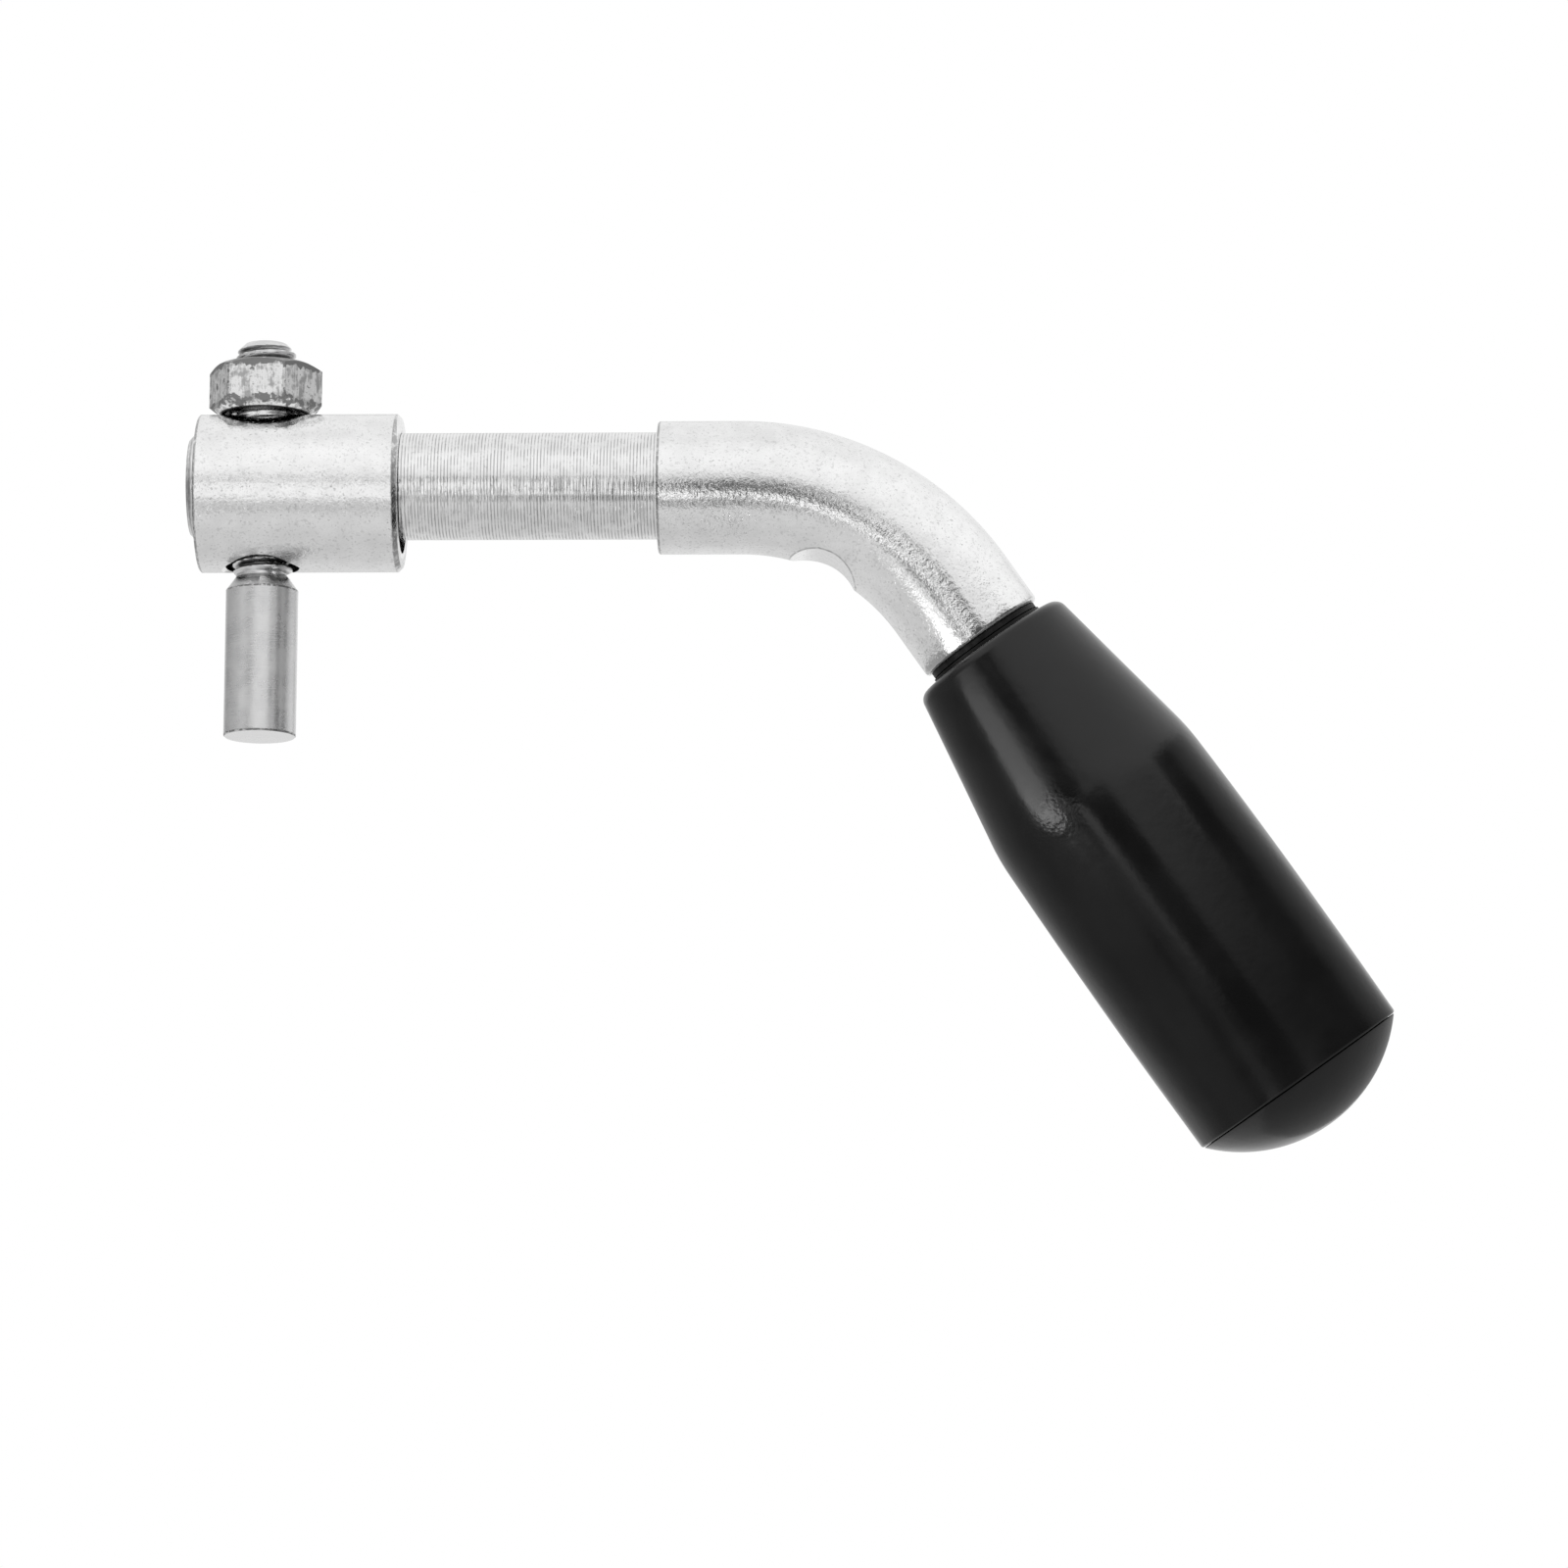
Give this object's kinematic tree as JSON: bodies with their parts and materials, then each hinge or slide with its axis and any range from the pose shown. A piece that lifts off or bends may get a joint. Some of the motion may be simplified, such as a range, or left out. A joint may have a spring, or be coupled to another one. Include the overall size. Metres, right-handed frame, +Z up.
{
  "type": "stove door handle",
  "caption": "Bent steel stove door handle with a locking stud and collar on its shaft and a black grip that turns on its arm.",
  "frame": {"origin": "on the shaft's axis, in the plane of the shoulder that stops against the door's bush", "axes": "+X along the shaft towards the arm and grip, +Z up along the locking stud's threaded end in the plane of the bend, -Y towards the viewer of the picture"},
  "size_m": [0.1197, 0.0236, 0.0812],
  "materials": {
    "bright_zinc": "satin",
    "turned_zinc": "satin",
    "galvanised_nut": "matt",
    "blackened_steel": "satin",
    "black_washer": "matt",
    "black_moulding": "satin"
  },
  "bodies": {
    "handle": {"handle_rod": "bright_zinc", "latch_collar": "bright_zinc", "latch_stud": "turned_zinc", "lock_nut": "galvanised_nut", "grip_spindle": "blackened_steel", "thrust_washer": "black_washer", "end_washer": "turned_zinc", "retaining_ring": "blackened_steel"},
    "grip": {"grip_body": "black_moulding", "grip_cap": "black_moulding"}
  },
  "joints": [
    {"name": "grip_spin", "type": "hinge", "parent": "handle", "child": "grip", "pos_m": [0.0323, 0, -0.01537], "axis": [0.5793, 0, -0.8151], "continuous": true}
  ]
}
